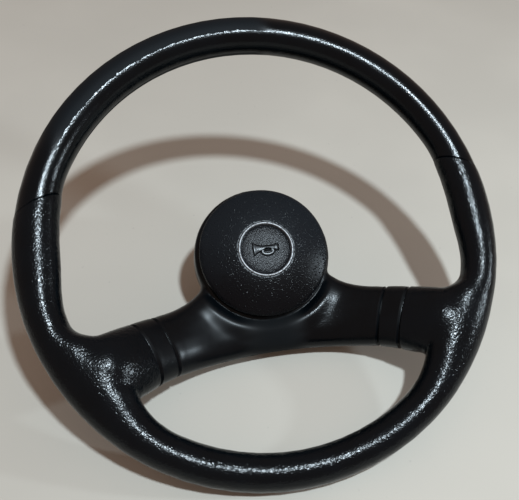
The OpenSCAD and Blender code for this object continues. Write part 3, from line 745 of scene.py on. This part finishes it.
class WHEEL_OT_disc(bpy.types.Operator):
    """Makes the grained disc inside the ring, with a plain horn sign raised on it and a near black sheet of
    painted shade around the sign
    """

    bl_idname = "wheel.disc"
    bl_label = "Disc"

    def execute(self, context):
        cap = context.scene.wheel_cap
        floor = well_floor(cap)
        rim = cap.ring_radius - cap.ring_width - WELL_GAP
        face = 0.0181
        profile = [(0, floor + 0.0011), (face * 0.6, floor + 0.0010), (face - 0.0005, floor + 0.0009),
                   (face + 0.0015, floor + 0.0001), (rim - 0.0001, floor + 0.0014), (rim, floor + 0.0014),
                   (rim, floor), (0, floor)]
        mesh = bmesh.new()
        spun(mesh, profile, steps=128, closed=False)
        bmesh.ops.recalc_face_normals(mesh, faces=mesh.faces)
        shade(mesh, math.radians(50))
        piece = show("disc_face", mesh)
        dress(piece, "horn_pad", "disc", self.finish("disc_skin", cap, depth=0.00042), "emblem_disc")
        # Painted shade: a near black, dull sheet a little wider than the sign stands in for the shade of a
        # groove around it
        groove_shade = Finish("sign_groove_shade", roughness=0.6, specular_ior_level=0.05)
        mottle = groove_shade.noise(groove_shade.place(), 0.0006)
        groove_shade.set("Base Color", groove_shade.blend(mottle, (0.0008, 0.0008, 0.0009), (0.0022, 0.0022, 0.0024)))
        top = floor + 0.0010
        dress(self.sign("sign_shade_outline", top, grow=1.1, thick=0.0005), "horn_pad", "disc", groove_shade)
        dress(self.sign("horn_sign", top, grow=0.0, thick=0.00085), "horn_pad", "disc",
              self.finish("sign_skin", cap, depth=0.00006))
        return {"FINISHED"}

    def sign(self, name, height, grow, thick):
        """A plain bugle: a flared bell, a straight pipe, a mouthpiece and one loop below.

        Its plan is in millimetres, and it is grown by so many of them.
        """
        halves = [(-9.9, 4.9), (-8.9, 3.9), (-7.6, 3.0), (-6.0, 2.3), (-4.0, 1.8), (-1.5, 1.5), (7.4, 1.3),
                  (7.8, 2.2), (9.9, 2.2)]
        end = 9.5
        halves = [(x + math.copysign(grow, x) * (abs(x) > end), y + grow) for x, y in halves]
        outline = halves + [(x, -y) for x, y in reversed(halves)]
        low = height - 0.0003
        lift = 0.0008
        mesh = bmesh.new()
        mesh.faces.new([mesh.verts.new((x * MM, y * MM + lift, low)) for x, y in outline])
        loop_x, loop_y = 1.4, -2.6
        steps = 28
        edges = []
        for half_x, half_y in ((5.4 + grow, 3.2 + grow), (3.6 - grow / 2, 1.5 - grow / 2)):
            ring = []
            for angle in (FULL_TURN * i / steps for i in range(steps)):
                x = loop_x + half_x * math.cos(angle)
                y = loop_y + half_y * math.sin(angle)
                ring.append(mesh.verts.new((x * MM, y * MM + lift, low)))
            edges += [mesh.edges.new(pair) for pair in zip(ring, ring[1:] + ring[:1])]
        bmesh.ops.bridge_loops(mesh, edges=edges)
        faces = list(mesh.faces)
        made = bmesh.ops.extrude_face_region(mesh, geom=faces)
        tops = [v for v in made["geom"] if isinstance(v, bmesh.types.BMVert)]
        bmesh.ops.translate(mesh, verts=tops, vec=(0, 0, thick))
        bmesh.ops.recalc_face_normals(mesh, faces=mesh.faces)
        rim = [e for e in mesh.edges if all(v.co.z > low + thick / 2 for v in e.verts)
               and e.calc_face_angle(0.0) > 1.0]
        bmesh.ops.bevel(mesh, geom=rim, offset=0.0001, offset_type="OFFSET", affect="EDGES", segments=2,
                        profile=0.5, material=-1)
        shade(mesh, math.radians(30))
        return show(name, mesh)

    def finish(self, name, cap, depth):
        """Black like the cap, with a grain as deep as told."""
        skin = Finish(name, specular_ior_level=0.36)
        grain = skin.noise(skin.place(), 0.0011, detail=3.0, rough=0.65)
        skin.set("Normal", skin.bump(grain, depth))
        skin.set("Roughness", skin.ramp(grain, 0.3, 0.7, 0.20, 0.34))
        skin.set("Base Color", skin.blend(grain, toned(cap.colour, 2), tuple(cap.paled)))
        return skin


class WHEEL_OT_springs(bpy.types.Operator):
    """Winds the three springs that push the cap back up"""

    bl_idname = "wheel.springs"
    bl_label = "Horn Springs"

    def execute(self, context):
        works = context.scene.wheel_works
        low, high = (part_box("horn_springs")[i].z for i in (0, 1))
        flat_turns = 0.6
        turn_steps = 20
        distance = 0.036
        wire = works.wire / 2
        upright = Matrix.Rotation(math.pi / 2, 4, "X")
        start = Matrix.Translation((works.coil / 2 - wire, 0, low + wire)) @ upright
        open_turns = works.turns - 2 * flat_turns
        winds = ((flat_turns, 0.0), (open_turns, high - low - works.wire), (flat_turns, 0.0))
        mesh = bmesh.new()
        for angle in (90, 210, 330):
            before = set(mesh.verts)
            ring = bmesh.ops.create_circle(mesh, cap_ends=False, radius=wire, segments=8, matrix=start)
            last = [*ring["verts"], *{e for v in ring["verts"] for e in v.link_edges}]
            for turns, lift in winds:
                steps = max(4, round(turn_steps * turns))
                wound = bmesh.ops.spin(mesh, geom=last, cent=(0, 0, 0), axis=(0, 0, 1),
                                       dvec=(0, 0, lift / steps), angle=FULL_TURN * turns, steps=steps,
                                       use_merge=False, use_duplicate=False)
                last = wound["geom_last"]
            new = [v for v in mesh.verts if v not in before]
            open_edges = [e for e in {e for v in new for e in v.link_edges} if len(e.link_faces) == 1]
            bmesh.ops.holes_fill(mesh, edges=open_edges, sides=0)
            spot = Matrix.Rotation(math.radians(angle), 4, "Z") @ Matrix.Translation((distance, 0, 0))
            bmesh.ops.transform(mesh, verts=new, matrix=spot)
        bmesh.ops.recalc_face_normals(mesh, faces=mesh.faces)
        shade(mesh, math.radians(50))
        piece = show("horn_coils", mesh)
        dress(piece, "wheel", "zinc", metal("spring_wire", tuple(works.zinc), 0.32, 0.0004), "horn_springs")
        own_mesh(piece)
        return {"FINISHED"}


def metal(name, colour, roughness, grain):
    """Plain metal with fine scratches and a few dull blots."""
    plate = Finish(name, metallic=1.0)
    place = plate.place()
    blots = plate.noise(place, 0.006, detail=4.0, rough=0.6)
    dull = plate.step(blots, 0.48, 0.68)
    plate.set("Base Color", plate.blend(dull, colour, toned(colour, 0.62)))
    plate.set("Roughness", plate.ramp(blots, 0.3, 0.7, roughness - 0.06, roughness + 0.12))
    plate.set("Normal", plate.bump(plate.noise(place, grain, detail=3.0), 0.00003))
    return plate


def turned_steel(name, colour):
    """Steel with the rings that a lathe leaves."""
    plate = Finish(name, metallic=1.0)
    place = plate.place()
    x, y, z = plate.split(place)
    rings_per_metre = 4000.0
    rings = plate.node("ShaderNodeTexNoise", {"noise_dimensions": "1D"},
                       {"W": plate.reach(x, y) * rings_per_metre + z * rings_per_metre,
                        "Scale": 1.0, "Detail": 2.0})
    stains = plate.step(plate.noise(place, 0.008, detail=4.0, rough=0.65), 0.52, 0.70)
    plate.set("Base Color", plate.blend(stains, colour, (0.20, 0.15, 0.11)))
    plate.set("Metallic", 1 - stains * 0.5)
    plate.set("Roughness", rings * 0.2 + stains * 0.25 + 0.24)
    plate.set("Normal", plate.bump(rings, 0.00004))
    return plate


def nylon(name, colour, gloss):
    """Moulded nylon, faintly cloudy."""
    skin = Finish(name, specular_ior_level=0.5)
    place = skin.place()
    cloud = skin.noise(place, 0.012, detail=3.0)
    skin.set("Base Color", skin.blend(cloud, toned(colour, 0.85), toned(colour, 1.1)))
    skin.set("Roughness", skin.ramp(cloud, 0.3, 0.7, gloss, gloss + 0.12))
    skin.set("Normal", skin.bump(skin.noise(place, 0.0009), 0.00004))
    return skin


class WHEEL_OT_works(bpy.types.Operator):
    """Finishes the steel, brass and nylon pieces that the solids already shape"""

    bl_idname = "wheel.works"
    bl_label = "Hub Works"

    def execute(self, context):
        works = context.scene.wheel_works
        finishes = (
            (turned_steel("plate_steel", tuple(works.steel)), ("hub_plate", "hub_boss")),
            (metal("core_steel", tuple(works.steel), 0.42, 0.0008),
             ("rim_core", "spoke_bar_left", "spoke_bar_right")),
            (metal("zinc_plating", tuple(works.zinc), 0.34, 0.0005), ("base_spacers", "base_screws")),
            (metal("contact_brass", tuple(works.brass), 0.30, 0.0005),
             ("slip_ring", "contact_post", "fixed_contact", "moving_contact", "contact_rivets")),
            (nylon("plain_nylon", tuple(works.nylon), 0.38), ("cancel_cam", "post_bush")),
            (nylon("black_nylon", tuple(works.black_nylon), 0.40), ("horn_base", "cap_carrier")),
        )
        for finish, nodes in finishes:
            for node in nodes:
                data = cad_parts[node].data
                data.materials.clear()
                data.materials.append(finish.material)
        return {"FINISHED"}


def floor_normal(tilt):
    """Direction straight up from a floor that is tilted about X."""
    return Vector((0, math.sin(tilt), math.cos(tilt)))


def lowest(normal, spots):
    """Least height of the spots along a direction."""
    return min(spot.dot(normal) for spot in spots)


class WHEEL_OT_stage(bpy.types.Operator):
    """Lays the wheel on its floor, hangs the lamps and sets up the camera"""

    bl_idname = "wheel.stage"
    bl_label = "Floor and Light"

    def execute(self, context):
        stage = context.scene.wheel_stage
        spots = [v.co.copy() for v in bpy.data.objects["grip_skin"].data.vertices]
        tilt = self.rest_tilt(spots)
        up = floor_normal(tilt)
        ground = Matrix.Translation(up * lowest(up, spots)) @ Matrix.Rotation(-tilt, 4, "X")
        mesh = bmesh.new()
        bmesh.ops.create_grid(mesh, x_segments=8, y_segments=8, size=3.0, matrix=ground)
        floor = show("floor", mesh)
        floor.data.materials.append(self.finish(stage).material)
        self.lamp("lamp_overhead", OVERHEAD_SPOT, OVERHEAD_SIZE, stage.lamp)
        self.lamp("lamp_right", RIGHT_SPOT, RIGHT_SIZE, stage.side_lamp)
        world = bpy.data.worlds.new("room")
        world.use_nodes = True
        world.node_tree.nodes["Background"].inputs[0].default_value = (*stage.room, 1.0)
        context.scene.world = world
        context.scene.view_settings.view_transform = "Standard"
        self.camera(stage)
        return {"FINISHED"}

    def rest_tilt(self, spots):
        """Turn of the floor about X at which the hub's back and the foot of the rim both touch it."""
        hub = [p for p in spots if p.y > -0.12 and p.z < 0.03]
        foot = [p for p in spots if p.y < -0.14]
        low = math.radians(10)
        high = math.radians(45)
        halvings = 18
        for _ in range(halvings):
            tilt = (low + high) / 2
            up = floor_normal(tilt)
            if lowest(up, hub) < lowest(up, foot):
                low = tilt
            else:
                high = tilt
        return (low + high) / 2

    def finish(self, stage):
        """Pale and plain, faintly clouded, and clear from below so that low views aren't hidden."""
        cover = Finish("pale_floor", roughness=0.6, specular_ior_level=0.2)
        place = cover.place()
        cloud = cover.noise(place, 0.25, detail=3.0)
        tone = cover.blend(cover.step(cloud, 0.3, 0.7), toned(stage.floor, 0.95), toned(stage.floor, 1.04))
        specks = cover.step(cover.noise(place, 0.004), 0.72, 0.8)
        cover.set("Base Color", cover.blend(specks * 0.25, tone, (0.3, 0.28, 0.25)))
        under = cover.node("ShaderNodeNewGeometry", out="Backfacing")
        clear = cover.node("ShaderNodeBsdfTransparent")
        shader = Reading(cover, cover.shader.outputs[0])
        mixed = cover.node("ShaderNodeMixShader", None, {0: under, 1: shader, 2: clear})
        cover.tree.links.new(mixed.socket, cover.output.inputs["Surface"])
        return cover

    def lamp(self, name, spot, size, power):
        """Hangs a round lamp that shines at the wheel."""
        data = bpy.data.lights.new(name, "AREA")
        data.shape = "DISK"
        data.size = size
        data.energy = power
        data.color = LAMP_COLOUR
        lamp = bpy.data.objects.new(name, data)
        aim = Vector(LAMP_AIM) - Vector(spot)
        lamp.matrix_world = Matrix.Translation(spot) @ aim.to_track_quat("-Z", "Y").to_matrix().to_4x4()
        bpy.context.scene.collection.objects.link(lamp)

    def camera(self, stage):
        """Puts the camera where it sees the wheel as the photograph does."""
        data = bpy.data.cameras.new("camera")
        data.sensor_width = 36.0
        data.lens = stage.focal
        data.shift_x, data.shift_y = CAMERA_SHIFT
        data.clip_start = 0.01
        data.clip_end = 50.0
        camera = bpy.data.objects.new("camera", data)
        tilt = Vector(CAMERA_TILT)
        turn = Matrix.Rotation(tilt.length, 4, tilt) @ Matrix.Rotation(CAMERA_ROLL, 4, "Z")
        view = Matrix.Translation(CAMERA_OFFSET) @ turn
        camera.matrix_world = Matrix.Translation((0, 0, RIM_LIFT)) @ view.inverted()
        bpy.context.scene.collection.objects.link(camera)
        bpy.context.scene.camera = camera


class VIEW3D_PT_wheel(bpy.types.Panel):
    """Lists the steps that build the wheel, with the sizes and colours they use."""

    bl_label = "Steering Wheel"
    bl_idname = "VIEW3D_PT_wheel"
    bl_space_type = "VIEW_3D"
    bl_region_type = "UI"
    bl_category = "Wheel"

    def draw(self, context):
        for title, groups, operators in STEPS:
            box = self.layout.box()
            box.label(text=title)
            for group in groups:
                values = getattr(context.scene, group)
                for name in values.bl_rna.properties.keys():
                    if name not in {"rna_type", "name"}:
                        box.prop(values, name)
            for operator in operators:
                box.operator(operator)


STEPS = (
    ("Grip", ("wheel_grip",), ("wheel.grip",)),
    ("Horn cap", ("wheel_cap",), ("wheel.cap", "wheel.ring", "wheel.disc")),
    ("Hub works", ("wheel_works",), ("wheel.springs", "wheel.works")),
    ("Floor and light", ("wheel_stage",), ("wheel.stage",)),
)
GROUPS = {
    "wheel_grip": WheelGripSettings,
    "wheel_cap": WheelCapSettings,
    "wheel_works": WheelWorksSettings,
    "wheel_stage": WheelStageSettings,
}
CLASSES = (*GROUPS.values(), WHEEL_OT_grip, WHEEL_OT_cap, WHEEL_OT_ring, WHEEL_OT_disc, WHEEL_OT_springs,
           WHEEL_OT_works, WHEEL_OT_stage, VIEW3D_PT_wheel)


def register():
    """Adds the wheel's classes and settings to Blender."""
    for item in CLASSES:
        bpy.utils.register_class(item)
    for name, group in GROUPS.items():
        setattr(bpy.types.Scene, name, PointerProperty(type=group))


def unregister():
    """Takes the wheel's settings and classes away again."""
    for name in GROUPS:
        delattr(bpy.types.Scene, name)
    for item in reversed(CLASSES):
        bpy.utils.unregister_class(item)


def main():
    """Builds every piece and the stage in order."""
    register()
    for title, groups, operators in STEPS:
        for operator in operators:
            family, step = operator.split(".")
            getattr(getattr(bpy.ops, family), step)()


if __name__ == "__main__":
    main()
